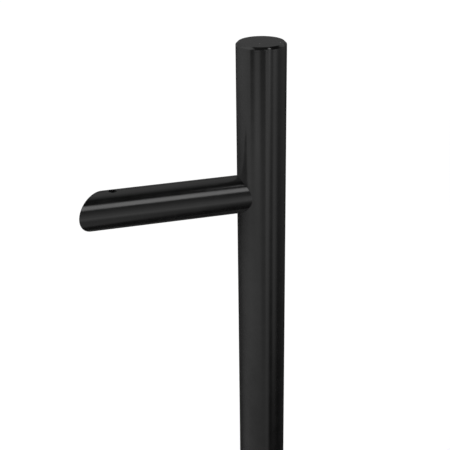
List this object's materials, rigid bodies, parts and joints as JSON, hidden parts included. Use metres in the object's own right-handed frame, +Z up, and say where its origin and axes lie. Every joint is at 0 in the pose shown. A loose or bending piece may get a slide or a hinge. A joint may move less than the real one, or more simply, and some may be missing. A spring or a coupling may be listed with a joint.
{
  "type": "t-bar pull handle",
  "caption": "Straight round pull bar held off a door by round standoffs that lean to one side, each mitred flat at the door and locked to a threaded spigot by a grub screw.",
  "frame": {"origin": "midway between the two fixing spigots, on the door's face", "axes": "+Z up along the grip, +Y into the door, +X the side to which the grip is offset"},
  "size_m": [0.1111, 0.0935, 0.6],
  "materials": {
    "black_finish": "satin",
    "spigot_steel": "satin",
    "screw_steel": "satin"
  },
  "bodies": {
    "root": {"grip_tube": "black_finish", "top_end_cap": "black_finish", "bottom_end_cap": "black_finish", "upper_standoff": "black_finish", "upper_fixing_spigot": "spigot_steel", "upper_grub_screw": "screw_steel", "lower_standoff": "black_finish", "lower_fixing_spigot": "spigot_steel", "lower_grub_screw": "screw_steel"}
  },
  "joints": []
}
